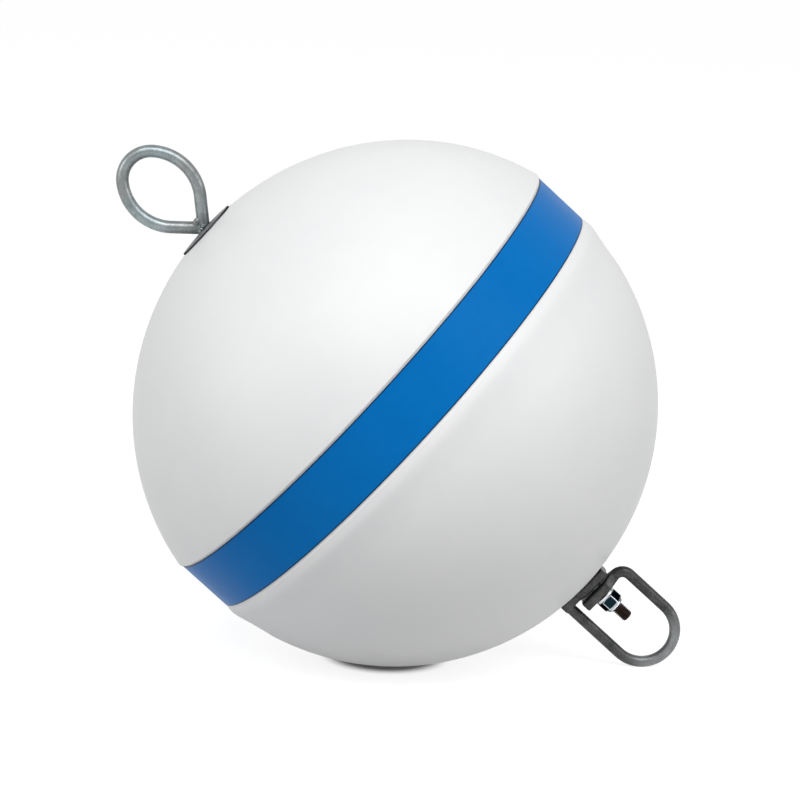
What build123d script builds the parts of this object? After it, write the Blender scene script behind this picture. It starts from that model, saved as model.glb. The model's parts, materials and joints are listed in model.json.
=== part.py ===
from build123d import *
import math
import os

# A round mooring buoy on one through rod, in mm.
# It is drawn upright about its own rod, with the ball's middle at zero and the eye above.
# Last of all it is laid over until the ball and the swivel ring both touch the floor.

# The float: a moulded ball, 18 in across. Its crown is a little wider and lower than its bowl
BALL_R = 229.2
BALL_LIFT = 2.9
CROWN_WIDER = 6.6
CROWN_LOWER = 1.6
LOW_SEAT_R = 20.4
WALL = 4.0
BORE_PLAY = 0.65
# A small turn of the float and its tape about the rod, which puts a flat of the float's mesh on
# the floor and not a corner
FLOAT_TURN = 1.49

# The belt for the tape, between a sloped shoulder and a soft lip
BELT_IN = 0.8
BELT_SPARE = 0.7
SHOULDER_RUN = 1.4
CORNER_RISE = 0.9
CORNER_RUN = 1.8
LIP_PROUD = 1.0
LIP_DROP = 7.5
LIP_FADE = 38.0

# The stripe: 2 in tape
TAPE_LOW_Z = -4.0
TAPE_W = 50.6
TAPE_T = 0.7

# The rod: 7/16 in bar, bent to a teardrop eye of tangent arcs
ROD_R = 5.55
ROD_SPARE = 14.2
ROD_CHAMFER = 1.3
NECK_UP = 0.5
NECK_BEND_R = 9.0
EYE_HALF = 29.2
EYE_WIDE_UP = 49.4
EYE_SIDE_R = 43.3
EYE_TIP_R = 24.9
WELD_R = 6.6
WELD_UP = 6.5

# The plates: one dished to lie on the crown, one flat on the lower seat
TOP_PLATE_R = 28.5
TOP_PLATE_T = 1.6
TOP_PLATE_PLAY = 1.65
LOW_PLATE_R = 20.0
LOW_PLATE_T = 3.0
PLATE_EDGE = 0.4

# The swivel ring: 10 mm bar, its flattened ends lapped on the rod
BAR_R = 5.0
RING_HALF = 29.1
RING_REACH = 105.6
RUNNING = 0.08
FACE_GAP = 0.3
LAP_W = 23.0
LAP_EDGE = 3.0
LAP_END_EDGE = 1.2
LAP_FROM = 10.0
LAP_RUN = 8.5
LAP_GAP = 1.6
INNER_LAP_T = 9.2
INNER_LAP_REACH = 17.0
OUTER_LAP_T = 9.6
OUTER_LAP_REACH = 18.2
OUTER_BEND_R = 9.5

# The washer and the lock nut
WASHER_R = 10.4
WASHER_T = 2.4
WASHER_EDGE = 0.4
NUT_FLATS = 17.5
NUT_HEX_T = 10.6
NUT_TOP_DROP = 0.8
NUT_TOP_IN = 1.4
COLLAR_R = 8.3
COLLAR_T = 3.0
COLLAR_ROLL = 2.0
COLLAR_WALL = 1.3
INSERT_INSET = 0.6
INSERT_DEEP = 0.5
THREAD_GAP = 0.05

# How far a cutting shape runs past the faces that it cuts
CUT_OVER = 1.0

# Radii and heights that follow from them
CROWN_R = BALL_R + CROWN_WIDER
CROWN_H = BALL_R - CROWN_LOWER
BELT_R = BALL_R - BELT_IN
TAPE_TOP_Z = TAPE_LOW_Z + TAPE_W
BORE_R = ROD_R + BORE_PLAY
CROWN_TOP_Z = CROWN_H * math.sqrt(1 - (BORE_R / CROWN_R) ** 2)
NECK_Z = CROWN_TOP_Z + TOP_PLATE_T + NECK_UP
LOW_SEAT_Z = BALL_LIFT - math.sqrt(BALL_R**2 - LOW_SEAT_R**2)

# The stack on the lower end of the rod, from the seat outwards
LOW_PLATE_Z = LOW_SEAT_Z - LOW_PLATE_T
INNER_TOP_Z = LOW_PLATE_Z - FACE_GAP
INNER_LOW_Z = INNER_TOP_Z - INNER_LAP_T
OUTER_TOP_Z = INNER_LOW_Z - LAP_GAP
OUTER_LOW_Z = OUTER_TOP_Z - OUTER_LAP_T
WASHER_TOP_Z = OUTER_LOW_Z - FACE_GAP
NUT_TOP_Z = WASHER_TOP_Z - WASHER_T
HEX_LOW_Z = NUT_TOP_Z - NUT_HEX_T
NUT_LOW_Z = HEX_LOW_Z - COLLAR_T
ROD_END_Z = NUT_LOW_Z - ROD_SPARE
RING_TURN_Z = LOW_SEAT_Z - RING_REACH + RING_HALF + BAR_R


def round_between(radius, z_low, z_high):
    """A plain cylinder about the rod, from one height to another."""
    return Pos(0, 0, (z_low + z_high) / 2) * Cylinder(radius, z_high - z_low)


def ring_about_rod(r_in, r_out, z_low, z_high):
    """A plain round ring about the rod."""
    return round_between(r_out, z_low, z_high) - round_between(r_in, z_low - CUT_OVER, z_high + CUT_OVER)


def sphere_reach(radius, z):
    """How far out a sphere about the bowl's middle reaches at a height."""
    return math.sqrt(radius**2 - (z - BALL_LIFT) ** 2)


def crown_arc(grow, r_from, r_to):
    """Part of the crown's ellipse, grown by grow, between two distances from the rod."""
    start = math.degrees(math.acos(r_from / (CROWN_R + grow)))
    end = math.degrees(math.acos(r_to / (CROWN_R + grow)))
    return EllipticalCenterArc((0, 0), CROWN_R + grow, CROWN_H + grow, start, arc_size=end - start)


def ball_outline(inset, core_r):
    """Half of the ball's outline, moved inwards by inset, from the lower seat to the core's top."""
    bowl_r = BALL_R - inset
    low_z = LOW_SEAT_Z + inset
    belt_low_z = TAPE_LOW_Z - BELT_SPARE
    belt_top_z = TAPE_TOP_Z + BELT_SPARE
    corner = (BELT_R + CORNER_RISE - inset, belt_low_z - CORNER_RUN)
    lip = (BALL_R + LIP_PROUD - inset, corner[1] - LIP_DROP)
    fade_z = lip[1] - LIP_FADE
    fade = (sphere_reach(bowl_r, fade_z), fade_z)
    half_z = (low_z + fade_z) / 2
    bowl = ThreePointArc((sphere_reach(bowl_r, low_z), low_z), (sphere_reach(bowl_r, half_z), half_z), fade)
    soft_lip = Spline(fade, lip, corner, tangents=(bowl % 1, (-0.8, 1)))
    shoulder_share = (belt_top_z + SHOULDER_RUN) / (CROWN_H - inset)
    crown = crown_arc(-inset, (CROWN_R - inset) * math.sqrt(1 - shoulder_share**2), core_r)
    start = crown @ 0
    belt = Polyline(corner, (BELT_R - inset, belt_low_z), (BELT_R - inset, belt_top_z), (start.X, start.Y))
    return bowl, soft_lip, belt, crown


def ball_solid(inset, core_r):
    """The ball's outline turned about the rod, with a straight core of the given radius."""
    bowl, soft_lip, belt, crown = ball_outline(inset, core_r)
    low = bowl @ 0
    high = crown @ 1
    closing = Polyline((high.X, high.Y), (core_r, low.Y), (low.X, low.Y))
    face = make_face([bowl, soft_lip, belt, crown, closing])
    return revolve(Plane.XZ * face, Axis.Z)


def make_float():
    """Hollow moulded shell with a tube through it for the rod."""
    shell = ball_solid(0.0, BORE_R) - ball_solid(WALL, BORE_R + WALL)
    return Rot(0, 0, FLOAT_TURN) * shell


def make_stripe():
    """Tape laid round the belt."""
    return Rot(0, 0, FLOAT_TURN) * ring_about_rod(BELT_R, BELT_R + TAPE_T, TAPE_LOW_Z, TAPE_TOP_Z)


def eye_path():
    """The bar's centre line to the top of the eye, the same line back down, and the top's height.

    The straight legs are tangents from the neck to the side arcs, and a smaller arc joins
    the side arcs over the top.
    """
    side_x = EYE_HALF - EYE_SIDE_R
    lean = math.asin(EYE_SIDE_R / math.hypot(side_x, EYE_WIDE_UP)) + math.atan2(side_x, EYE_WIDE_UP)
    wide_z = NECK_Z + EYE_WIDE_UP
    tip_z = wide_z + math.sqrt((EYE_SIDE_R - EYE_TIP_R) ** 2 - side_x**2)
    turn = math.atan2(tip_z - wide_z, -side_x)
    leg_end = (side_x + EYE_SIDE_R * math.cos(lean), wide_z - EYE_SIDE_R * math.sin(lean))
    side_end = (side_x + EYE_SIDE_R * math.cos(turn), wide_z + EYE_SIDE_R * math.sin(turn))
    side = ThreePointArc(leg_end, (EYE_HALF, wide_z), side_end)
    half_tip = (turn + math.pi / 2) / 2
    tip_middle = (EYE_TIP_R * math.cos(half_tip), tip_z + EYE_TIP_R * math.sin(half_tip))
    top_z = tip_z + EYE_TIP_R
    tip = ThreePointArc(side_end, tip_middle, (0, top_z))
    reach = NECK_BEND_R * math.tan(lean / 2)
    neck_start = (0, NECK_Z - reach)
    neck_end = (reach * math.sin(lean), NECK_Z + reach * math.cos(lean))
    neck_middle = (
        NECK_BEND_R * (1 - math.cos(lean / 2)),
        neck_start[1] + NECK_BEND_R * math.sin(lean / 2),
    )
    neck = ThreePointArc(neck_start, neck_middle, neck_end)
    going = Line((0, ROD_END_Z), neck_start) + neck + Line(neck_end, leg_end) + side + tip
    coming = tip + side + Line(leg_end, neck_end)
    return going, coming, top_z


def make_rod():
    """The through rod: straight bar, teardrop eye closed by a weld, chamfered lower end."""
    going, coming, top_z = eye_path()
    bar = sweep(Plane.XY.offset(ROD_END_Z) * Circle(ROD_R), path=Plane.XZ * going)
    bar = chamfer(bar.edges().group_by(Axis.Z)[0], ROD_CHAMFER)
    crown = Plane(origin=(0, 0, top_z), z_dir=(1, 0, 0))
    returned = sweep(crown * Circle(ROD_R), path=mirror(Plane.XZ * coming, Plane.YZ))
    weld = Pos(0, 0, NECK_Z + WELD_UP) * Sphere(WELD_R)
    return bar + returned + weld


def make_top_plate():
    """A stamped disc dished to the crown that it lies on, with its outer edge rolled over."""
    hole_r = ROD_R + TOP_PLATE_PLAY
    under = crown_arc(0.0, TOP_PLATE_R, hole_r)
    over = crown_arc(TOP_PLATE_T, TOP_PLATE_R, hole_r)
    rim = Line(under @ 0, over @ 0)
    bore = Line(under @ 1, over @ 1)
    disc = revolve(Plane.XZ * make_face([under, bore, over, rim]), Axis.Z)
    rims = disc.edges().filter_by(GeomType.CIRCLE).sort_by(SortBy.RADIUS)[-2:]
    return fillet(rims.sort_by(Axis.Z)[-1], PLATE_EDGE)


def make_low_plate():
    """A flat stamped disc on the lower seat, with its outer edge rolled over."""
    disc = ring_about_rod(BORE_R, LOW_PLATE_R, LOW_PLATE_Z, LOW_SEAT_Z)
    rims = disc.edges().filter_by(GeomType.CIRCLE).sort_by(SortBy.RADIUS)[-2:]
    return fillet(rims.sort_by(Axis.Z)[0], PLATE_EDGE)


def bar_section(side, x, z_middle, width, thick, edge):
    """A section across one bar end, at a distance from the rod."""
    place = Plane(origin=(side * x, 0, z_middle), x_dir=(0, 1, 0), z_dir=(side, 0, 0))
    return place * RectangleRounded(width, thick, edge)


def lapped_end(side, reach, root, z_low, thick, root_edge):
    """A bar's end forged flat for the rod: its cut end past the rod, its root towards one leg."""
    z_middle = z_low + thick / 2
    neck_x = LAP_FROM + LAP_RUN
    pad = extrude(bar_section(side, -reach, z_middle, LAP_W, thick, LAP_EDGE), reach + LAP_FROM)
    cut_end = pad.faces().sort_by(Axis.X)[0 if side > 0 else -1]
    pad = fillet(cut_end.edges(), LAP_END_EDGE)
    wide = bar_section(side, LAP_FROM, z_middle, LAP_W, thick, LAP_EDGE)
    narrow = bar_section(side, neck_x, z_middle, 2 * BAR_R, thick, root_edge)
    shoulder = loft([wide, narrow])
    shank = extrude(narrow, root - neck_x)
    return pad + shoulder + shank


def make_ring():
    """The swivel ring: one bar, turned square into the inner eye and bent round into the outer."""
    inner_z = (INNER_TOP_Z + INNER_LOW_Z) / 2
    outer_z = (OUTER_TOP_Z + OUTER_LOW_Z) / 2
    bend = (RING_HALF - OUTER_BEND_R, outer_z - OUTER_BEND_R)
    diagonal = OUTER_BEND_R / math.sqrt(2)
    left = Line((-RING_HALF, inner_z), (-RING_HALF, RING_TURN_Z))
    far = ThreePointArc((-RING_HALF, RING_TURN_Z), (0, RING_TURN_Z - RING_HALF), (RING_HALF, RING_TURN_Z))
    right = Line((RING_HALF, RING_TURN_Z), (RING_HALF, bend[1]))
    over = ThreePointArc((RING_HALF, bend[1]), (bend[0] + diagonal, bend[1] + diagonal), (bend[0], outer_z))
    path = Plane.XZ * (left + far + right + over)
    bar = sweep(Plane(origin=(-RING_HALF, 0, inner_z), z_dir=(0, 0, -1)) * Circle(BAR_R), path=path)
    inner = lapped_end(-1, INNER_LAP_REACH, RING_HALF + BAR_R, INNER_LOW_Z, INNER_LAP_T, LAP_EDGE)
    outer = lapped_end(1, OUTER_LAP_REACH, bend[0], OUTER_LOW_Z, OUTER_LAP_T, LAP_EDGE)
    hole = round_between(ROD_R + RUNNING, OUTER_LOW_Z - CUT_OVER, INNER_TOP_Z + CUT_OVER)
    return bar + inner + outer - hole


def make_washer():
    """Flat washer under the nut, with stamped edges."""
    disc = ring_about_rod(ROD_R + THREAD_GAP, WASHER_R, NUT_TOP_Z, WASHER_TOP_Z)
    rims = disc.edges().filter_by(GeomType.CIRCLE).sort_by(SortBy.RADIUS)[-2:]
    return fillet(rims, WASHER_EDGE)


def make_nut():
    """Hexagon with its upper corners turned off, and a collar rolled in over the insert."""
    corner_r = NUT_FLATS / math.sqrt(3)
    hexagon = extrude(Plane.XY.offset(HEX_LOW_Z) * RegularPolygon(corner_r, 6, rotation=30), NUT_HEX_T)
    blank = round_between(corner_r, HEX_LOW_Z, NUT_TOP_Z)
    blank = chamfer(blank.edges().filter_by(GeomType.CIRCLE), NUT_TOP_DROP, NUT_TOP_IN)
    collar = round_between(COLLAR_R, NUT_LOW_Z, HEX_LOW_Z)
    collar = fillet(collar.edges().group_by(Axis.Z)[0], COLLAR_ROLL)
    bore = round_between(ROD_R + THREAD_GAP, NUT_LOW_Z - CUT_OVER, NUT_TOP_Z + CUT_OVER)
    pocket = round_between(COLLAR_R - COLLAR_WALL, NUT_LOW_Z - CUT_OVER, HEX_LOW_Z + INSERT_DEEP)
    return (hexagon & blank) + collar - bore - pocket


def make_insert():
    """The nylon ring held in the collar."""
    low = NUT_LOW_Z + INSERT_INSET
    return ring_about_rod(ROD_R + THREAD_GAP, COLLAR_R - COLLAR_WALL, low, HEX_LOW_Z + INSERT_DEEP)


def tilt():
    """How far the rod leans from upright, in degrees, when ball and ring both touch the floor."""
    return math.degrees(math.acos((BALL_R - RING_HALF - BAR_R) / (BALL_LIFT - RING_TURN_Z)))


def build():
    """Every piece of the buoy, laid over on the floor."""
    pieces = {
        "float_shell": make_float(),
        "stripe": make_stripe(),
        "through_rod": make_rod(),
        "top_plate": make_top_plate(),
        "low_plate": make_low_plate(),
        "swivel_ring": make_ring(),
        "washer": make_washer(),
        "lock_nut": make_nut(),
        "nut_insert": make_insert(),
    }
    laid = {name: Rot(0, -tilt(), 0) * shape for name, shape in pieces.items()}
    boxes = [shape.bounding_box() for shape in laid.values()]
    middle_x = (min(box.min.X for box in boxes) + max(box.max.X for box in boxes)) / 2
    lowest = BALL_LIFT * math.cos(math.radians(tilt())) - BALL_R
    return {name: Pos(-middle_x, 0, -lowest) * shape for name, shape in laid.items()}


os.makedirs("parts", exist_ok=True)
for name, shape in build().items():
    export_step(shape, f"parts/{name}.step")
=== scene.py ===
import json
import math

import bmesh
import bpy
from mathutils import Matrix, Vector


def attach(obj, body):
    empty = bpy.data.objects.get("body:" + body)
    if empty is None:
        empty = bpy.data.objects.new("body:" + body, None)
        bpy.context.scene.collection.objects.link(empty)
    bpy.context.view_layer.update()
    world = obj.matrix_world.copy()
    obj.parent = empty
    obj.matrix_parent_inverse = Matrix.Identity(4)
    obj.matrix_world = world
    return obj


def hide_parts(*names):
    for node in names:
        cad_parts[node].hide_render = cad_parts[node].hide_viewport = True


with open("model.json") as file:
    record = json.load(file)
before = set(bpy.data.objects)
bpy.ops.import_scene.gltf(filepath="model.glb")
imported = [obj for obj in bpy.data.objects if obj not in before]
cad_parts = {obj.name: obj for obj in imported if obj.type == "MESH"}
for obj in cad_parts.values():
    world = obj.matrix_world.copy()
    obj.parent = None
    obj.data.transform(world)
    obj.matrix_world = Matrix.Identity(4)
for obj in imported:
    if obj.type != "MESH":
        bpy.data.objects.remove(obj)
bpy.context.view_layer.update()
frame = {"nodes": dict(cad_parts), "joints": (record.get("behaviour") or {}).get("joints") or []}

# How the buoy lies. Everything on it sits about one straight rod, so each piece is made upright,
# with the ball's middle at zero and the eye above, and is then laid over with the rod.
swivel = frame["joints"][0]
rod_up = -Vector(swivel["axis"]).normalized()
on_rod = Vector(swivel["pos_m"])
lower_ball_r = 0.2292
lower_ball_up = 0.0029
lower_middle = on_rod + rod_up * ((lower_ball_r - on_rod.z) / rod_up.z)
rod_across = Vector((0, 1, 0)).cross(rod_up)
turned_over = Matrix((rod_across, (0, 1, 0), rod_up)).transposed().to_4x4()
laid_over = Matrix.Translation(lower_middle - rod_up * lower_ball_up) @ turned_over


# The float. A hollow ball of white plastic, moulded in one with a shallow belt for the tape,
# a flat lower seat and a straight tube through it. Above the belt it is a little wider and flatter.
def put(tree, kind, inputs=None, **settings):
    """One node of a tree, with its settings, and its inputs as values or as sockets to join to."""
    made = tree.nodes.new(kind)
    for name, value in settings.items():
        setattr(made, name, value)
    for name, value in (inputs or {}).items():
        target = made.inputs[name]
        if isinstance(value, bpy.types.NodeSocket):
            tree.links.new(value, target)
        else:
            target.default_value = value
    return made


def sum_of(tree, operation, *values):
    """One sum in a tree, of values or sockets."""
    return put(tree, "ShaderNodeMath", dict(enumerate(values)), operation=operation).outputs[0]


def new_form(name, inputs):
    """An empty geometry tree with a mesh in and out and named inputs for its sizes."""
    tree = bpy.data.node_groups.new(name, "GeometryNodeTree")
    tree.interface.new_socket("Geometry", in_out="INPUT", socket_type="NodeSocketGeometry")
    for title, kind in inputs:
        tree.interface.new_socket(title, in_out="INPUT", socket_type=kind)
    tree.interface.new_socket("Geometry", in_out="OUTPUT", socket_type="NodeSocketGeometry")
    return tree, put(tree, "NodeGroupInput").outputs, put(tree, "NodeGroupOutput").inputs["Geometry"]


def shaped(name, start, tree, values):
    """The plain mesh that a geometry tree makes of a starting object, as a new object."""
    maker = start.modifiers.new("form", "NODES")
    maker.node_group = tree
    for item in tree.interface.items_tree:
        if item.item_type == "SOCKET" and item.in_out == "INPUT" and item.name in values:
            maker[item.identifier] = values[item.name]
    drawn = start.evaluated_get(bpy.context.evaluated_depsgraph_get())
    mesh = bpy.data.meshes.new_from_object(drawn)
    start.modifiers.remove(maker)
    bpy.data.objects.remove(start)
    made = bpy.data.objects.new(name, mesh)
    bpy.context.scene.collection.objects.link(made)
    return made


def turning_form():
    """Turns the start's outline about the rod. Each point keeps how far round and along it lies."""
    tree, given, out = new_form(
        "turned about the rod", [("Steps round", "NodeSocketInt"), ("Finish", "NodeSocketMaterial")]
    )
    outline = given["Geometry"]
    count = put(tree, "GeometryNodeAttributeDomainSize", {"Geometry": outline}).outputs["Point Count"]
    rows = sum_of(tree, "ADD", count, 1)
    columns = sum_of(tree, "ADD", given["Steps round"], 1)
    grid = put(tree, "GeometryNodeMeshGrid", {"Vertices X": rows, "Vertices Y": columns}).outputs["Mesh"]
    index = put(tree, "GeometryNodeInputIndex").outputs[0]
    row = sum_of(tree, "FLOOR", sum_of(tree, "DIVIDE", sum_of(tree, "ADD", index, 0.5), columns))
    column = sum_of(tree, "SUBTRACT", index, sum_of(tree, "MULTIPLY", row, columns))
    place = put(tree, "GeometryNodeInputPosition").outputs[0]
    on_outline = put(
        tree,
        "GeometryNodeSampleIndex",
        {"Geometry": outline, "Value": place, "Index": sum_of(tree, "FLOORED_MODULO", row, count)},
        data_type="FLOAT_VECTOR",
    ).outputs["Value"]
    parts = put(tree, "ShaderNodeSeparateXYZ", {"Vector": on_outline}).outputs
    share = sum_of(tree, "DIVIDE", column, given["Steps round"])
    angle = sum_of(tree, "MULTIPLY", share, math.tau)
    on_circle = put(
        tree,
        "ShaderNodeCombineXYZ",
        {
            "X": sum_of(tree, "MULTIPLY", parts["X"], sum_of(tree, "COSINE", angle)),
            "Y": sum_of(tree, "MULTIPLY", parts["X"], sum_of(tree, "SINE", angle)),
            "Z": parts["Z"],
        },
    ).outputs[0]
    placed = put(tree, "GeometryNodeSetPosition", {"Geometry": grid, "Position": on_circle}).outputs[0]
    joined = put(tree, "GeometryNodeMergeByDistance", {"Geometry": placed, "Distance": 1e-6}).outputs[0]
    plain = put(tree, "GeometryNodeRealizeInstances", {"Geometry": joined}).outputs[0]
    dressed = put(tree, "GeometryNodeSetMaterial", {"Geometry": plain, "Material": given["Finish"]})
    tree.links.new(dressed.outputs[0], out)
    return tree


turning = turning_form()


def settle(piece, body, nodes, crease=35):
    """Lays a finished piece over with the rod, smooths it, and gives it to its body."""
    piece.data.transform(laid_over)
    mesh = bmesh.new()
    mesh.from_mesh(piece.data)
    if mesh.calc_volume(signed=True) < 0:
        bmesh.ops.reverse_faces(mesh, faces=mesh.faces)
    mesh.to_mesh(piece.data)
    mesh.free()
    piece.data.shade_smooth()
    piece.data.set_sharp_from_angle(angle=math.radians(crease))
    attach(piece, body)
    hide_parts(*nodes)


def turned(name, outline, steps, finish):
    """A round piece from its closed outline, given as distances out from the rod and up it."""
    mesh = bpy.data.meshes.new(name)
    edges = [(i, (i + 1) % len(outline)) for i in range(len(outline))]
    mesh.from_pydata([(r, 0, z) for r, z in outline], edges, [])
    start = bpy.data.objects.new(name, mesh)
    bpy.context.scene.collection.objects.link(start)
    return shaped(name, start, turning, {"Steps round": steps, "Finish": finish})


def effect(name, inputs, outputs):
    """An empty shading group with named inputs and outputs."""
    tree = bpy.data.node_groups.new(name, "ShaderNodeTree")
    for title, kind, value in inputs:
        tree.interface.new_socket(title, in_out="INPUT", socket_type=kind).default_value = value
    for title, kind in outputs:
        tree.interface.new_socket(title, in_out="OUTPUT", socket_type=kind)
    return tree, put(tree, "NodeGroupInput").outputs, put(tree, "NodeGroupOutput").inputs


def cloudy_effect():
    """Soft clouds from 0 to 1 in two sizes, such as handling, weather and uneven pigment leave."""
    tree, given, out = effect(
        "clouds",
        [("Size", "NodeSocketFloat", 0.05), ("Fine", "NodeSocketFloat", 0.5)],
        [("Cloud", "NodeSocketFloat")],
    )
    place = put(tree, "ShaderNodeTexCoord").outputs["Object"]
    scale = sum_of(tree, "DIVIDE", 1.0, given["Size"])
    large = put(tree, "ShaderNodeTexNoise", {"Vector": place, "Scale": scale, "Detail": 3.0}).outputs[0]
    finer = sum_of(tree, "MULTIPLY", scale, 7.0)
    small = put(tree, "ShaderNodeTexNoise", {"Vector": place, "Scale": finer, "Detail": 4.0}).outputs[0]
    both = put(tree, "ShaderNodeMix", {0: given["Fine"], 2: large, 3: small}, data_type="FLOAT")
    spread = put(tree, "ShaderNodeMapRange", {"Value": both.outputs[0], "From Min": 0.3, "From Max": 0.7})
    tree.links.new(spread.outputs[0], out["Cloud"])
    return tree


clouds = cloudy_effect()


def grain_effect():
    """A fine even grain for a bump's height: moulded, rolled or dipped skins differ in its size."""
    tree, given, out = effect(
        "grain",
        [("Size", "NodeSocketFloat", 0.001), ("Rough", "NodeSocketFloat", 0.5)],
        [("Height", "NodeSocketFloat")],
    )
    place = put(tree, "ShaderNodeTexCoord").outputs["Object"]
    scale = sum_of(tree, "DIVIDE", 1.0, given["Size"])
    noise = put(
        tree,
        "ShaderNodeTexNoise",
        {"Vector": place, "Scale": scale, "Detail": 3.0, "Roughness": given["Rough"]},
    )
    tree.links.new(noise.outputs[0], out["Height"])
    return tree


grain = grain_effect()


def use(tree, group, **inputs):
    """One shading group placed in a material with its own values."""
    made = tree.nodes.new("ShaderNodeGroup")
    made.node_tree = group
    for name, value in inputs.items():
        target = made.inputs[name.replace("_", " ")]
        if isinstance(value, bpy.types.NodeSocket):
            tree.links.new(value, target)
        else:
            target.default_value = value
    return made.outputs


def finish_of(name, **constants):
    """A new material with a Principled shader, whose constant values are set on its own sockets."""
    material = bpy.data.materials.new(name)
    material.use_nodes = True
    tree = material.node_tree
    skin = tree.nodes["Principled BSDF"].inputs
    for title, value in constants.items():
        skin[title.replace("_", " ")].default_value = value
    return material, tree, skin


def blend_of(tree, share, low, high):
    """A colour between two, by a share from 0 to 1."""
    mixed = put(tree, "ShaderNodeMix", {"Factor": share}, data_type="RGBA")
    for socket, colour in ((mixed.inputs[6], low), (mixed.inputs[7], high)):
        if isinstance(colour, bpy.types.NodeSocket):
            tree.links.new(colour, socket)
        else:
            socket.default_value = (*colour, 1)
    return mixed.outputs[2]


def between(tree, share, low, high):
    """A plain value between two, by a share from 0 to 1."""
    return put(tree, "ShaderNodeMapRange", {"Value": share, "To Min": low, "To Max": high}).outputs[0]


def bumped(tree, skin, height, depth, strength=1.0):
    """Feeds a height to the shader's normal through a bump that is depth metres high."""
    bump = put(tree, "ShaderNodeBump", {"Height": height, "Distance": depth, "Strength": strength})
    tree.links.new(bump.outputs[0], skin["Normal"])


white_plastic, tree, skin = finish_of("white moulded plastic", IOR=1.5)
pigment = use(tree, clouds, Size=0.09, Fine=0.25)["Cloud"]
handled = use(tree, clouds, Size=0.03, Fine=0.6)["Cloud"]
tree.links.new(blend_of(tree, pigment, (0.800, 0.806, 0.812), (0.835, 0.838, 0.840)), skin["Base Color"])
tree.links.new(between(tree, handled, 0.42, 0.52), skin["Roughness"])
bumped(tree, skin, use(tree, grain, Size=0.0016, Rough=0.45)["Height"], 0.00006)


def arc_points(middle, radius, start, end, steps):
    """Points on an arc, its angles in degrees from the outward direction."""
    turns = [math.radians(start + (end - start) * i / steps) for i in range(steps + 1)]
    return [(middle[0] + radius * math.cos(a), middle[1] + radius * math.sin(a)) for a in turns]


crown_r = 0.2358
crown_h = 0.2276
belt_r = 0.2284


def float_outline():
    """The ball's outline, from the lower seat out and up to the crown's rim, then down the tube."""
    low_seat = -0.22539
    lip_starts = -0.052
    crown_starts = 0.0502
    crown_rim_r = 0.0074
    bore_r = 0.0062
    from_angle = math.degrees(math.asin((low_seat - lower_ball_up) / lower_ball_r))
    to_angle = math.degrees(math.asin((lip_starts - lower_ball_up) / lower_ball_r))
    lower = arc_points((0, lower_ball_up), lower_ball_r, from_angle, to_angle, 56)
    lip = [(0.22475, -0.0400), (0.22640, -0.0320), (0.22800, -0.0250), (0.22925, -0.0195)]
    lip += [(0.22985, -0.0165), (0.23015, -0.0142), (0.23012, -0.0120), (0.22985, -0.0100)]
    belt = [(0.22945, -0.0075), (0.22915, -0.0063), (0.22872, -0.0053), (0.22848, -0.0048)]
    belt += [(belt_r, z) for z in (-0.0042, 0.004, 0.021, 0.038, 0.0469)] + [(0.22848, 0.0474)]
    shoulder = [(0.22975, 0.0482), (0.23008, 0.0485), (0.23022, 0.0489), (0.23014, 0.0495)]
    first = math.asin(crown_starts / crown_h)
    last = math.acos(crown_rim_r / crown_r)
    turns = [first + (last - first) * i / 66 for i in range(67)]
    upper = [(crown_r * math.cos(a), crown_h * math.sin(a)) for a in turns]
    tube = [(0.0065, 0.2273)] + [(bore_r, z) for z in (0.2269, 0.1, -0.1, -0.2247)] + [(0.0075, low_seat)]
    return lower + lip + belt + shoulder + upper + tube


ball = turned("float", float_outline(), 288, white_plastic)
settle(ball, "buoy", ["float_shell"], crease=50)


# The stripe. Blue vinyl tape, 2 in wide, pulled tight round the belt a little below flush.
# Along both cut edges a thin dark line is painted: painted shade for the belt's small steps.
vinyl, tree, skin = finish_of("blue vinyl tape", IOR=1.5, Specular_IOR_Level=0.06)
faded = use(tree, clouds, Size=0.05, Fine=0.35)["Cloud"]
# A mask of painted shade, 1 along both edges of the tape, which darkens it there.
edge_shade = put(tree, "ShaderNodeAttribute", attribute_name="painted edge shade").outputs["Fac"]
blue = blend_of(tree, faded, (0.0, 0.150, 0.480), (0.001, 0.168, 0.515))
tree.links.new(blend_of(tree, edge_shade, blue, (0.002, 0.030, 0.090)), skin["Base Color"])
tree.links.new(between(tree, faded, 0.36, 0.44), skin["Roughness"])
bumped(tree, skin, use(tree, grain, Size=0.0022, Rough=0.6)["Height"], 0.00005)
tape_low, tape_top, tape_in, tape_out = -0.004, 0.0466, 0.22842, 0.2291
edge_shade_wide = 0.0009
tape_line = [(tape_in, tape_low), (tape_out - 0.0002, tape_low), (tape_out, tape_low + 0.0002)]
tape_line += [(tape_out, tape_low + 0.0008), (tape_out, tape_low + 0.0012)]
tape_line += [(tape_out, tape_low + (tape_top - tape_low) * k / 6) for k in range(1, 6)]
tape_line += [(tape_out, tape_top - 0.0012), (tape_out, tape_top - 0.0008)]
tape_line += [(tape_out, tape_top - 0.0002), (tape_out - 0.0002, tape_top), (tape_in, tape_top)]
stripe = turned("tape", tape_line, 288, vinyl)
edge_shade_mask = stripe.data.attributes.new("painted edge shade", "FLOAT", "POINT")
for corner, value in zip(stripe.data.vertices, edge_shade_mask.data):
    from_edge = min(corner.co.z - tape_low, tape_top - corner.co.z)
    value.value = 1.0 if from_edge < edge_shade_wide else 0.0
settle(stripe, "buoy", ["stripe"])


# The through rod. One galvanised steel bar, threaded at its lower end and bent round at the top to
# a teardrop eye. The bar's end comes back to the neck and is closed there by a bead of weld.
rod_r = 0.00555
rod_end = -0.27959
neck_z = 0.22962
eye_side_r = 0.0433
eye_side_x = 0.0292 - eye_side_r
eye_wide_up = 0.0494
eye_tip_r = 0.0249
lean = math.asin(eye_side_r / math.hypot(eye_side_x, eye_wide_up)) + math.atan2(eye_side_x, eye_wide_up)


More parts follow.
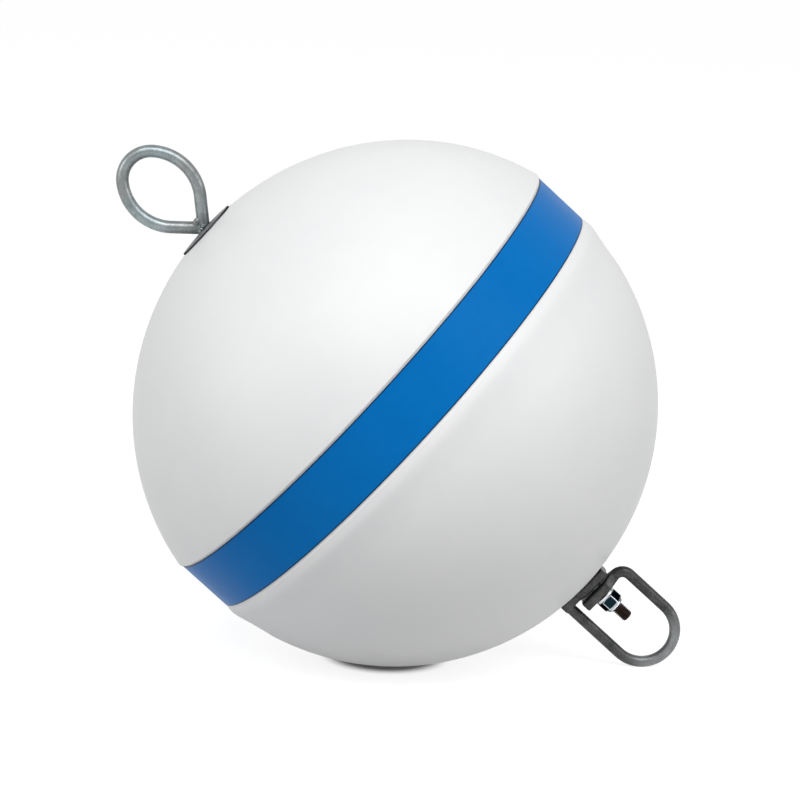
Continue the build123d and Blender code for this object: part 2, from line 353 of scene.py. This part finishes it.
def spot_effect():
    """A soft round mask, 1 near a spot and 0 beyond its reach, for marks that heat or wear leave and for
    painted shade and sheen.
    """
    tree, given, out = effect(
        "spot",
        [
            ("Spot", "NodeSocketVector", (0, 0, 0)),
            ("Inner", "NodeSocketFloat", 0.01),
            ("Outer", "NodeSocketFloat", 0.02),
        ],
        [("Mask", "NodeSocketFloat")],
    )
    place = put(tree, "ShaderNodeTexCoord").outputs["Object"]
    away = put(tree, "ShaderNodeVectorMath", {0: place, 1: given["Spot"]}, operation="DISTANCE")
    mask = put(
        tree,
        "ShaderNodeMapRange",
        {"Value": away.outputs["Value"], "From Min": given["Outer"], "From Max": given["Inner"]},
        interpolation_type="SMOOTHSTEP",
    ).outputs[0]
    tree.links.new(mask, out["Mask"])
    return tree


spot = spot_effect()


def laid_spot(height):
    """Where a height on the rod lies, now that the buoy is laid over."""
    return tuple(laid_over @ Vector((0, 0, height)))


zinc, tree, skin = finish_of("weathered zinc on the rod", Metallic=0.95)
weather = use(tree, clouds, Size=0.012, Fine=0.4)["Cloud"]
stain = use(tree, clouds, Size=0.034, Fine=0.2)["Cloud"]
spangle = put(tree, "ShaderNodeTexVoronoi", {"Scale": 260.0}, feature="F1")
place = put(tree, "ShaderNodeTexCoord").outputs["Object"]
tree.links.new(place, spangle.inputs["Vector"])
flake = put(tree, "ShaderNodeSeparateColor", {"Color": spangle.outputs["Color"]}).outputs["Red"]
flaky = between(tree, flake, 0.3, 0.7)
tone = put(tree, "ShaderNodeMix", {0: 0.6, 2: flaky, 3: weather}, data_type="FLOAT").outputs[0]
cool = blend_of(tree, tone, (0.105, 0.140, 0.150), (0.325, 0.385, 0.400))
warm = blend_of(tree, tone, (0.110, 0.108, 0.104), (0.335, 0.330, 0.322))
metal = blend_of(tree, stain, cool, warm)
scaled = use(tree, spot, Spot=laid_spot(neck_z + 0.004), Inner=0.004, Outer=0.013)["Mask"]
burnt = sum_of(tree, "MULTIPLY", scaled, between(tree, weather, 0.35, 0.95))
metal = blend_of(tree, burnt, metal, (0.060, 0.060, 0.058))
cut_thread = use(tree, spot, Spot=laid_spot(rod_end), Inner=0.014, Outer=0.018)["Mask"]
tree.links.new(blend_of(tree, cut_thread, metal, (0.060, 0.042, 0.036)), skin["Base Color"])
tree.links.new(between(tree, tone, 0.42, 0.26), skin["Roughness"])
bumped(tree, skin, use(tree, grain, Size=0.0012, Rough=0.5)["Height"], 0.00006)


def eye_line():
    """The bar's centre line from inside the ball, over the neck and round the teardrop to its end."""
    neck_bend = 0.009
    wide_z = neck_z + eye_wide_up
    tip_z = wide_z + math.sqrt((eye_side_r - eye_tip_r) ** 2 - eye_side_x**2)
    turn = math.degrees(math.atan2(tip_z - wide_z, -eye_side_x))
    reach = neck_bend * math.tan(lean / 2)
    neck = arc_points((neck_bend, neck_z - reach), neck_bend, 180, 180 - math.degrees(lean), 10)
    side = arc_points((eye_side_x, wide_z), eye_side_r, -math.degrees(lean), turn, 36)
    tip = arc_points((0, tip_z), eye_tip_r, turn, 90, 26)
    up = [(0, 0.214 + 0.001 * k) for k in range(11)]
    back = [(-x, z) for x, z in reversed(side + tip[1:-1])]
    end = (-reach * math.sin(lean) * 0.9, neck_z + reach * math.cos(lean) * 0.9)
    return up + neck + side + tip[1:] + back + [end]


def bar_form():
    """A round bar along the start's line, with a thread cut into it below a given height."""
    sizes = [("Bar radius", "NodeSocketFloat"), ("Thread pitch", "NodeSocketFloat")]
    sizes += [("Thread depth", "NodeSocketFloat"), ("Thread below", "NodeSocketFloat")]
    tree, given, out = new_form("bar along a line", sizes + [("Finish", "NodeSocketMaterial")])
    line = put(tree, "GeometryNodeMeshToCurve", {"Mesh": given["Geometry"]}).outputs[0]
    circle = {"Resolution": 48, "Radius": given["Bar radius"]}
    round_bar = put(tree, "GeometryNodeCurvePrimitiveCircle", circle)
    bar = put(
        tree,
        "GeometryNodeCurveToMesh",
        {"Curve": line, "Profile Curve": round_bar.outputs[0], "Fill Caps": True},
    ).outputs[0]
    place = put(tree, "GeometryNodeInputPosition").outputs[0]
    parts = put(tree, "ShaderNodeSeparateXYZ", {"Vector": place}).outputs
    round_share = sum_of(tree, "DIVIDE", sum_of(tree, "ARCTAN2", parts["Y"], parts["X"]), math.tau)
    turns = sum_of(tree, "SUBTRACT", sum_of(tree, "DIVIDE", parts["Z"], given["Thread pitch"]), round_share)
    twice = sum_of(tree, "MULTIPLY", sum_of(tree, "FRACT", turns), 2.0)
    saw = sum_of(tree, "ABSOLUTE", sum_of(tree, "SUBTRACT", twice, 1.0))
    flank = put(
        tree, "ShaderNodeMapRange", {"Value": saw, "From Min": 0.1, "From Max": 0.88}
    ).outputs[0]
    cut = sum_of(tree, "MULTIPLY", sum_of(tree, "MULTIPLY", flank, given["Thread depth"]), -1.0)
    radial = put(tree, "ShaderNodeCombineXYZ", {"X": parts["X"], "Y": parts["Y"]}).outputs[0]
    outward = put(tree, "ShaderNodeVectorMath", {0: radial}, operation="NORMALIZE").outputs[0]
    shift = put(tree, "ShaderNodeVectorMath", {0: outward, "Scale": cut}, operation="SCALE").outputs[0]
    low = put(
        tree,
        "FunctionNodeCompare",
        {"A": parts["Z"], "B": given["Thread below"]},
        operation="LESS_THAN",
    ).outputs[0]
    threaded = put(
        tree, "GeometryNodeSetPosition", {"Geometry": bar, "Selection": low, "Offset": shift}
    ).outputs[0]
    plain = put(tree, "GeometryNodeRealizeInstances", {"Geometry": threaded}).outputs[0]
    dressed = put(tree, "GeometryNodeSetMaterial", {"Geometry": plain, "Material": given["Finish"]})
    tree.links.new(dressed.outputs[0], out)
    return tree


bar_along = bar_form()


def line_of(points):
    """A loose line through points, which a geometry tree then follows."""
    mesh = bpy.data.meshes.new("line")
    mesh.from_pydata(points, [(i, i + 1) for i in range(len(points) - 1)], [])
    start = bpy.data.objects.new("line", mesh)
    bpy.context.scene.collection.objects.link(start)
    return start


def bar(name, points, radius, finish, **thread):
    """A bar along points, threaded if a thread is given."""
    sizes = {"Bar radius": radius, "Thread pitch": 0.0018, "Thread depth": 0.0, "Thread below": -9.0}
    sizes.update({title.replace("_", " "): value for title, value in thread.items()})
    return shaped(name, line_of(points), bar_along, {**sizes, "Finish": finish})


def bead_form():
    """A bead of weld along the start's line: overlapping ripples, each a flattened lump."""
    sizes = [("Ripple step", "NodeSocketFloat"), ("Ripple size", "NodeSocketFloat")]
    rest = [("Seed", "NodeSocketInt"), ("Finish", "NodeSocketMaterial")]
    tree, given, out = new_form("bead of weld", sizes + rest)
    line = put(tree, "GeometryNodeMeshToCurve", {"Mesh": given["Geometry"]}).outputs[0]
    stepped = put(
        tree, "GeometryNodeResampleCurve", {"Curve": line, "Length": given["Ripple step"]}, mode="LENGTH"
    )
    ball_size = {"Radius": given["Ripple size"], "Subdivisions": 3}
    lump = put(tree, "GeometryNodeMeshIcoSphere", ball_size).outputs[0]
    tangent = put(tree, "GeometryNodeInputTangent").outputs[0]
    aim = put(tree, "FunctionNodeAlignRotationToVector", {"Vector": tangent}, axis="Z").outputs[0]
    wide = put(
        tree,
        "FunctionNodeRandomValue",
        {"Min": (0.88, 0.88, 0.5), "Max": (1.1, 1.1, 0.62), "Seed": given["Seed"]},
        data_type="FLOAT_VECTOR",
    ).outputs[0]
    laid = put(
        tree,
        "GeometryNodeInstanceOnPoints",
        {"Points": stepped.outputs[0], "Instance": lump, "Rotation": aim, "Scale": wide},
    ).outputs[0]
    plain = put(tree, "GeometryNodeRealizeInstances", {"Geometry": laid}).outputs[0]
    dressed = put(tree, "GeometryNodeSetMaterial", {"Geometry": plain, "Material": given["Finish"]})
    tree.links.new(dressed.outputs[0], out)
    return tree


weld_bead = bead_form()


def weld_line():
    """The joint of the eye's end and the neck: round the under side, from one flank to the other."""
    sunk = 0.92
    along = Vector((-math.sin(lean), math.cos(lean) - 1)).normalized()
    points = []
    for k in range(25):
        a = math.radians(-105 + 210 * k / 24)
        out = rod_r / abs(along.x) * math.cos(a) * sunk
        points.append((along.x * out, rod_r * sunk * math.sin(a), neck_z + along.y * out + 0.0012))
    return points


def joined_skin(name, parts, cell, rounds, finish):
    """Melts overlapping parts into one closed skin, as a weld or a forging does, and smooths it."""
    bpy.ops.object.select_all(action="DESELECT")
    for part in parts:
        part.select_set(True)
    bpy.context.view_layer.objects.active = parts[0]
    if len(parts) > 1:
        bpy.ops.object.join()
    whole = bpy.context.view_layer.objects.active
    whole.modifiers.new("skin", "REMESH").voxel_size = cell
    soften = whole.modifiers.new("soften", "SMOOTH")
    soften.factor, soften.iterations = 0.5, rounds
    drawn = whole.evaluated_get(bpy.context.evaluated_depsgraph_get())
    mesh = bpy.data.meshes.new_from_object(drawn)
    bpy.data.objects.remove(whole)
    mesh.materials.clear()
    mesh.materials.append(finish)
    made = bpy.data.objects.new(name, mesh)
    bpy.context.scene.collection.objects.link(made)
    return made


eye_bar = bar("eye bar", [(x, 0, z) for x, z in eye_line()], rod_r, zinc)
bead = shaped(
    "bead",
    line_of(weld_line()),
    weld_bead,
    {"Ripple step": 0.0022, "Ripple size": 0.0026, "Seed": 4, "Finish": zinc},
)
crotch = shaped(
    "crotch",
    line_of([(0.0, -0.0035, neck_z + 0.0075), (0.0, 0.0035, neck_z + 0.0078)]),
    weld_bead,
    {"Ripple step": 0.002, "Ripple size": 0.0038, "Seed": 9, "Finish": zinc},
)
rod_eye = joined_skin("rod_eye", [eye_bar, bead, crotch], 0.0005, 3, zinc)
tail_points = [(0, 0, rod_end + 0.00018 * k) for k in range(101)]
tail_points += [(0, 0, z / 1000) for z in (-260, -250, -240, -200, -120, -40, 40, 120, 200, 214)]
tail = bar(
    "rod_tail", tail_points, rod_r, zinc, Thread_pitch=0.001814, Thread_depth=0.00105, Thread_below=-0.2618
)
for corner in tail.data.vertices:
    chamfered = rod_r - 0.0013 + max(0.0, corner.co.z - rod_end)
    out = math.hypot(corner.co.x, corner.co.y)
    if out > chamfered:
        corner.co.x *= chamfered / out
        corner.co.y *= chamfered / out
settle(rod_eye, "buoy", ["through_rod"], crease=60)
settle(tail, "buoy", ["through_rod"], crease=50)


# The two plates. Stamped discs of galvanised steel: the upper one is dished to lie on the crown and
# keeps the neck from working into the plastic, and the swivel ring bears on the flat lower one.
def plate_finish(name, dark, light, middle, reach):
    """Galvanised sheet between two tones, with a dark rim painted round its edge as painted shade."""
    material, tree, skin = finish_of(name, Metallic=0.9, Specular_Tint=(0.3, 0.3, 0.3, 1.0))
    weather = use(tree, clouds, Size=0.01, Fine=0.5)["Cloud"]
    # The mask is 0 on the last millimetre of the rim, which is coloured dark: painted shade.
    face = use(tree, spot, Spot=laid_spot(middle), Inner=reach - 0.0010, Outer=reach - 0.0002)["Mask"]
    sheet = blend_of(tree, weather, dark, light)
    tree.links.new(blend_of(tree, face, (0.035, 0.036, 0.038), sheet), skin["Base Color"])
    tree.links.new(between(tree, weather, 0.46, 0.32), skin["Roughness"])
    bumped(tree, skin, use(tree, grain, Size=0.0009, Rough=0.6)["Height"], 0.00008)
    return material


top_plate_r = 0.0285
low_plate_r = 0.020
bright_plate = plate_finish(
    "bright galvanised plate", (0.30, 0.31, 0.32), (0.62, 0.63, 0.64), 0.2266, top_plate_r
)
# The lower plate is the same galvanised sheet, coloured dark as painted shade under the ball.
plate_in_painted_shade = plate_finish(
    "galvanised plate in painted shade", (0.030, 0.031, 0.033), (0.085, 0.088, 0.090), -0.2269, low_plate_r
)


def heights_of(node):
    """How low and how high a CAD solid reaches along the rod, from the ball's middle."""
    upright = laid_over.inverted()
    heights = [(upright @ corner.co).z for corner in frame["nodes"][node].data.vertices]
    return min(heights), max(heights)


def disc_outline(inner, outer, low, high, rolled, burr=0.0002):
    """A stamped disc's outline: its upper edge is rolled over by the die and its lower one is sharp."""
    rim = arc_points((outer - rolled, high - rolled), rolled, 0, 90, 5)
    hole = arc_points((inner + rolled, high - rolled), rolled, 90, 180, 5)
    return [(outer - burr, low), (outer, low + burr), *rim, *hole, (inner, low + burr), (inner + burr, low)]


def dished_outline(inner, outer, thick, rolled):
    """The upper plate's outline: it follows the crown that it lies on."""
    under = []
    over = []
    for k in range(11):
        r = inner + (outer - inner) * k / 10
        under.append((r, crown_h * math.sqrt(1 - (r / crown_r) ** 2)))
        r = outer - rolled - (outer - rolled - inner) * k / 10
        over.append((r, (crown_h + thick) * math.sqrt(1 - (r / (crown_r + thick)) ** 2)))
    low = under[-1][1]
    rim = [(outer, low + thick - rolled), (outer - rolled * 0.3, low + thick - rolled * 0.3)]
    return under + rim + over


top_plate_line = dished_outline(0.0072, top_plate_r, 0.0016, 0.0004)
top_plate = turned("upper_plate_disc", top_plate_line, 128, bright_plate)
settle(top_plate, "buoy", ["top_plate"])
plate_low, plate_high = heights_of("low_plate")
low_plate_line = disc_outline(0.0062, low_plate_r, plate_low, plate_high, 0.0005)
low_plate = turned("lower_plate_disc", low_plate_line, 128, plate_in_painted_shade)
settle(low_plate, "buoy", ["low_plate"])


# The swivel ring. Forged from one dark galvanised bar: each end is flattened and pierced, and the
# two eyes are lapped on the rod, so the ring turns freely between the plate and the washer.
forged, tree, skin = finish_of("dark forged bar", Metallic=0.85)
weather = use(tree, clouds, Size=0.011, Fine=0.5)["Cloud"]
# A lighter patch at the ring's far bend is a painted sheen.
sheen_spot = use(tree, spot, Spot=laid_spot(-0.334), Inner=0.014, Outer=0.052)["Mask"]
painted_sheen = sum_of(tree, "MULTIPLY", sheen_spot, between(tree, weather, 0.5, 1.0))
dark = blend_of(tree, weather, (0.016, 0.017, 0.017), (0.092, 0.094, 0.091))
tree.links.new(blend_of(tree, painted_sheen, dark, (0.27, 0.28, 0.285)), skin["Base Color"])
tree.links.new(between(tree, weather, 0.46, 0.28), skin["Roughness"])
bumped(tree, skin, use(tree, grain, Size=0.0012, Rough=0.65)["Height"], 0.00014)


def copy_of_solid(node):
    """A copy of a CAD solid's mesh, with its loose triangles merged, in the ball's upright place."""
    mesh = frame["nodes"][node].data.copy()
    mesh.transform(laid_over.inverted())
    whole = bmesh.new()
    whole.from_mesh(mesh)
    bmesh.ops.remove_doubles(whole, verts=whole.verts, dist=1e-6)
    whole.to_mesh(mesh)
    whole.free()
    made = bpy.data.objects.new(node + " copy", mesh)
    bpy.context.scene.collection.objects.link(made)
    return made


ring = joined_skin("swivel_ring_bar", [copy_of_solid("swivel_ring")], 0.0005, 4, forged)
settle(ring, "ring", ["swivel_ring"], crease=60)


# The washer. A plain stamped washer of bright zinc that carries the outer eye on the nut.
bright_zinc, tree, skin = finish_of("bright zinc washer", Metallic=1.0)
weather = use(tree, clouds, Size=0.006, Fine=0.5)["Cloud"]
tree.links.new(blend_of(tree, weather, (0.52, 0.53, 0.54), (0.72, 0.73, 0.74)), skin["Base Color"])
tree.links.new(between(tree, weather, 0.38, 0.26), skin["Roughness"])
bumped(tree, skin, use(tree, grain, Size=0.0007, Rough=0.6)["Height"], 0.00006)
thread_hole_r = 0.0056
washer_low, washer_high = heights_of("washer")
washer_line = disc_outline(thread_hole_r, 0.0104, washer_low, washer_high, 0.0005)
washer = turned("washer_disc", washer_line, 96, bright_zinc)
settle(washer, "buoy", ["washer"])


# The lock nut. A dark steel hexagon with its corners turned off at the top, and below it a round collar
# that is rolled in over a nylon ring. Its corners, chamfers and edges and the collar are painted bright:
# painted highlights.
# A flat faces the camera, where the solid has a corner.
blue_zinc, tree, skin = finish_of(
    "dark passivated nut", Metallic=1.0, Specular_Tint=(0.08, 0.12, 0.15, 1.0)
)
weather = use(tree, clouds, Size=0.008, Fine=0.45)["Cloud"]
# A mask of painted highlights, bright on the nut's corners, edges and collar.
painted_highlight = put(tree, "ShaderNodeAttribute", attribute_name="painted_highlight").outputs["Fac"]
dull = blend_of(tree, weather, (0.003, 0.010, 0.015), (0.009, 0.024, 0.034))
tree.links.new(blend_of(tree, painted_highlight, dull, (0.62, 0.66, 0.68)), skin["Base Color"])
tree.links.new(between(tree, weather, 0.30, 0.18), skin["Roughness"])
bumped(tree, skin, use(tree, grain, Size=0.0008, Rough=0.5)["Height"], 0.00005)
nut_flats = 0.0175
collar_r = 0.0083
nut_low, nut_top = heights_of("lock_nut")
hex_low = nut_low + 0.003
insert_r = 0.007


def nut_across(angle):
    """How far the hexagon reaches in one direction, with its corners a little eased."""
    from_flat = math.degrees(angle) % 60 - 30
    return min(nut_flats / 2 / math.cos(math.radians(from_flat)), nut_flats / math.sqrt(3) - 0.00018)


def nut_mesh():
    """The nut, one outline for each direction: bore, bearing face, chamfer, flat, shoulder, collar."""
    mesh = bmesh.new()
    corners = {(60 * k + d) % 360 for k in range(6) for d in (-4, -2, -1, 1, 2, 4)}
    face_r = nut_flats / 2 - 0.0002
    rows = []
    highlight_shares = []
    for step in sorted({3 * k for k in range(120)} | corners):
        angle = math.radians(step)
        out = nut_across(angle)
        top_edge = nut_top - (out - face_r) * math.tan(math.radians(30))
        low_edge = hex_low + 0.0001 + max(0.0, out - nut_flats / 2 - 0.0003) * 0.5
        # The flats next to each corner get a painted highlight.
        corner = 0.9 if abs(step % 60 - 30) > 27.5 else 0.0
        line = [(thread_hole_r, nut_top - 0.0007, 0.3), (0.0063, nut_top, 0.3), (face_r, nut_top, 0.3)]
        line += [(out, top_edge, 0.5), (out, top_edge - 0.0006, 0.5), (out, top_edge - 0.0009, corner)]
        line += [(out, low_edge + 0.0009, corner), (out, low_edge + 0.0006, 0.8), (out, low_edge, 0.8)]
        line += [(out - 0.00025, hex_low, 0.5), (collar_r + 0.0002, hex_low, 0.1)]
        line += [(collar_r, hex_low - 0.0002, 0.4), (collar_r, hex_low - 0.0009, 1.0)]
        line += [(collar_r - 0.00025, hex_low - 0.0017, 1.0), (collar_r - 0.00075, hex_low - 0.0024, 1.0)]
        line += [(collar_r - 0.0014, hex_low - 0.00285, 1.0), (collar_r - 0.0018, nut_low, 1.0)]
        line += [(collar_r - 0.0021, nut_low + 0.0001, 0.8), (insert_r - 0.0007, nut_low + 0.0006, 0.5)]
        line += [(insert_r - 0.0004, hex_low + 0.0003, 0.2), (thread_hole_r, hex_low + 0.0004, 0.2)]
        rows.append([mesh.verts.new((r * math.cos(angle), r * math.sin(angle), z)) for r, z, bright in line])
        highlight_shares += [bright for r, z, bright in line]
    for here, after in zip(rows, rows[1:] + rows[:1]):
        for k in range(len(here)):
            following = (k + 1) % len(here)
            mesh.faces.new((here[k], after[k], after[following], here[following]))
    bmesh.ops.recalc_face_normals(mesh, faces=mesh.faces)
    made = bpy.data.meshes.new("lock nut")
    mesh.to_mesh(made)
    mesh.free()
    for value, bright in zip(made.attributes.new("painted_highlight", "FLOAT", "POINT").data, highlight_shares):
        value.value = bright
    made.materials.append(blue_zinc)
    return made


nut = bpy.data.objects.new("lock_nut_body", nut_mesh())
bpy.context.scene.collection.objects.link(nut)
settle(nut, "buoy", ["lock_nut"], crease=25)


# The nut's insert. A ring of plain nylon, pressed into the collar and cut by the rod's thread.
nylon, tree, skin = finish_of("nylon insert", IOR=1.53)
weather = use(tree, clouds, Size=0.004, Fine=0.5)["Cloud"]
tree.links.new(blend_of(tree, weather, (0.72, 0.73, 0.73), (0.84, 0.85, 0.85)), skin["Base Color"])
tree.links.new(between(tree, weather, 0.45, 0.6), skin["Roughness"])
bumped(tree, skin, use(tree, grain, Size=0.0006, Rough=0.5)["Height"], 0.00004)
insert_low, insert_high = heights_of("nut_insert")
insert_line = [(thread_hole_r, insert_low + 0.0002), (0.0058, insert_low), (0.0061, insert_low)]
insert_line += [(0.0063, insert_low + 0.0003), (0.0063, insert_high), (thread_hole_r, insert_high)]
insert = turned("nylon_ring", insert_line, 72, nylon)
settle(insert, "buoy", ["nut_insert"])


# The studio. A white floor and surround, a wide soft lamp above and in front with a small one on each
# side, and the camera low in front, turned a little so that the rod lies as photographed.
def seen_directly(tree):
    """1 for what the camera sees itself or in a bright surface, and 0 for what only lights the buoy."""
    rays = put(tree, "ShaderNodeLightPath").outputs
    mirrored = sum_of(tree, "MAXIMUM", rays["Is Glossy Ray"], rays["Is Transmission Ray"])
    return sum_of(tree, "MAXIMUM", rays["Is Camera Ray"], mirrored)


def white_floor():
    """A matt floor with a white glow, turned down in a patch under the ball so that its shadow shows."""
    material = bpy.data.materials.new("white floor")
    material.use_nodes = True
    tree = material.node_tree
    tree.nodes.remove(tree.nodes["Principled BSDF"])
    out = tree.nodes["Material Output"].inputs["Surface"]
    paint = put(tree, "ShaderNodeBsdfDiffuse", {"Color": (0.55, 0.55, 0.55, 1)}).outputs[0]
    under = (lower_middle.x, 0, 0)
    near = use(tree, spot, Spot=under, Inner=0.040, Outer=0.060)["Mask"]
    shine = sum_of(tree, "MULTIPLY", seen_directly(tree), between(tree, near, 0.80, 0.03))
    glow = put(tree, "ShaderNodeEmission", {"Strength": shine}).outputs[0]
    tree.links.new(put(tree, "ShaderNodeAddShader", {0: paint, 1: glow}).outputs[0], out)
    return material


floor_mesh = bpy.data.meshes.new("floor")
floor_half = 40
floor_corners = [(x * floor_half, y * floor_half, 0) for x, y in ((-1, -1), (1, -1), (1, 1), (-1, 1))]
floor_mesh.from_pydata(floor_corners, [], [(0, 1, 2, 3)])
floor_mesh.materials.append(white_floor())
floor = bpy.data.objects.new("floor", floor_mesh)
bpy.context.scene.collection.objects.link(floor)

world = bpy.data.worlds.new("white surround")
world.use_nodes = True
bpy.context.scene.world = world
tree = world.node_tree
strength = between(tree, seen_directly(tree), 0.34, 1.0)
sky = tree.nodes["Background"].inputs
sky["Color"].default_value = (1, 1, 1, 1)
tree.links.new(strength, sky["Strength"])


def lamp(name, place, aim, size, power):
    """A soft lamp, given its width and height, that faces a point."""
    light = bpy.data.lights.new(name, "AREA")
    light.shape = "RECTANGLE"
    light.size, light.size_y = size
    light.energy = power
    made = bpy.data.objects.new(name, light)
    bpy.context.scene.collection.objects.link(made)
    made.location = place
    made.rotation_euler = (Vector(aim) - Vector(place)).to_track_quat("-Z", "Y").to_euler()


ball_middle = (0, 0, 0.23)
lamp("wide lamp", (0.05, -1.5, 2.3), ball_middle, (3.4, 1.4), 50)
lamp("left lamp", (-2.4, -1.1, 1.0), ball_middle, (1.2, 1.2), 11)
lamp("right lamp", (2.4, -1.1, 1.0), ball_middle, (1.2, 1.2), 12)

distance = 2.5
raised = math.radians(11.24)
rolled = math.radians(2.46)
forward = Vector((0, math.cos(raised), -math.sin(raised)))
right = forward.cross(Vector((0, 0, 1))).normalized()
above = right.cross(forward)
turned_right = right * math.cos(rolled) + above * math.sin(rolled)
turned_above = above * math.cos(rolled) - right * math.sin(rolled)
camera_data = bpy.data.cameras.new("camera")
photo_wide = 800
focal_pixels = 2856
ball_right, ball_down = 395.3, 403.6
camera_data.sensor_width = 36
camera_data.lens = focal_pixels * camera_data.sensor_width / photo_wide
camera_data.clip_end = 100
camera_data.shift_x = (photo_wide / 2 - ball_right) / photo_wide
camera_data.shift_y = (ball_down - photo_wide / 2) / photo_wide
camera = bpy.data.objects.new("camera", camera_data)
bpy.context.scene.collection.objects.link(camera)
camera.matrix_world = Matrix.Translation(lower_middle - forward * distance) @ Matrix(
    (turned_right, turned_above, -forward)
).transposed().to_4x4()
bpy.context.scene.camera = camera
bpy.context.scene.view_settings.view_transform = "Standard"
